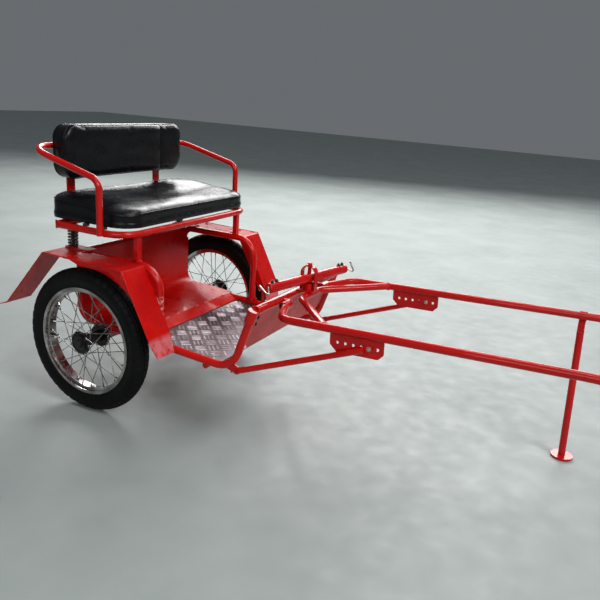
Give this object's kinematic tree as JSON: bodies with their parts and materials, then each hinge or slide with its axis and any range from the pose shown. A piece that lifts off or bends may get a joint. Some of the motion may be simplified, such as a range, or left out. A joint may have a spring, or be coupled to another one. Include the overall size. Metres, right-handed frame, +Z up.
{
  "type": "two-wheeled horse cart",
  "caption": "Light two-wheeled cart for a miniature horse: red bent-tube frame, wire wheels, padded bench seat on springs, footboard and long curved shafts with a prop leg.",
  "frame": {"origin": "on the ground under the middle of the cart's bounding box", "axes": "+X forward along the shafts, +Y to the cart's left, +Z up"},
  "size_m": [2.5209, 0.979, 1.0782],
  "materials": {
    "red_paint": "gloss",
    "tyre_rubber": "matte",
    "chrome_rim": "polished",
    "bright_spokes": "satin",
    "black_hub": "gloss",
    "black_steel": "gloss",
    "tread_aluminium": "satin",
    "black_vinyl": "satin",
    "seat_ply": "matte"
  },
  "bodies": {
    "chassis": {"adjuster_plates": "red_paint", "arm_rail": "red_paint", "axle_beam": "red_paint", "backrest_bars": "red_paint", "backrest_pad": "black_vinyl", "brace_left": "red_paint", "brace_right": "red_paint", "brace_tabs": "red_paint", "dash_brackets": "red_paint", "dash_panel": "red_paint", "dash_top_tube": "red_paint", "fender_left": "red_paint", "fender_right": "red_paint", "fender_stays_left": "red_paint", "fender_stays_right": "red_paint", "floor_cross_tube": "red_paint", "floor_rail_left": "red_paint", "floor_rail_right": "red_paint", "floor_sheet": "red_paint", "leg_clamp": "red_paint", "riser_cross_tube": "red_paint", "seat_back_bar": "red_paint", "seat_board": "seat_ply", "seat_cushion": "black_vinyl", "seat_frame": "red_paint", "seat_posts": "red_paint", "seat_spring_bar": "red_paint", "seat_springs": "black_steel", "shaft_cross_tube": "red_paint", "shaft_left": "red_paint", "shaft_lugs": "red_paint", "shaft_right": "red_paint", "side_hoop_left": "red_paint", "side_hoop_right": "red_paint", "singletree_bracket": "red_paint", "spring_plates": "red_paint", "tread_plate": "tread_aluminium"},
    "wheel_right": {"tyre_right": "tyre_rubber", "rim_right": "chrome_rim", "hub_right": "black_hub", "spokes_right": "bright_spokes"},
    "wheel_left": {"tyre_left": "tyre_rubber", "rim_left": "chrome_rim", "hub_left": "black_hub", "spokes_left": "bright_spokes"},
    "singletree": {"singletree_bar": "red_paint", "trace_hooks": "bright_spokes"},
    "leg": {"prop_leg": "red_paint"}
  },
  "joints": [
    {"name": "wheel_right_turn", "type": "hinge", "parent": "chassis", "child": "wheel_right", "pos_m": [-0.82, -0.43, 0.285], "axis": [0, 1, 0], "continuous": true},
    {"name": "wheel_left_turn", "type": "hinge", "parent": "chassis", "child": "wheel_left", "pos_m": [-0.82, 0.43, 0.285], "axis": [0, 1, 0], "continuous": true},
    {"name": "singletree_swing", "type": "hinge", "parent": "chassis", "child": "singletree", "pos_m": [-0.104, 0, 0.575], "axis": [0, 0, 1], "range_deg": [-8, 32]},
    {"name": "prop_leg_fold", "type": "hinge", "parent": "chassis", "child": "leg", "pos_m": [0.864, 0.31052, 0.51071], "axis": [0, 0.9948, -0.1023], "range_deg": [0, 84]}
  ]
}
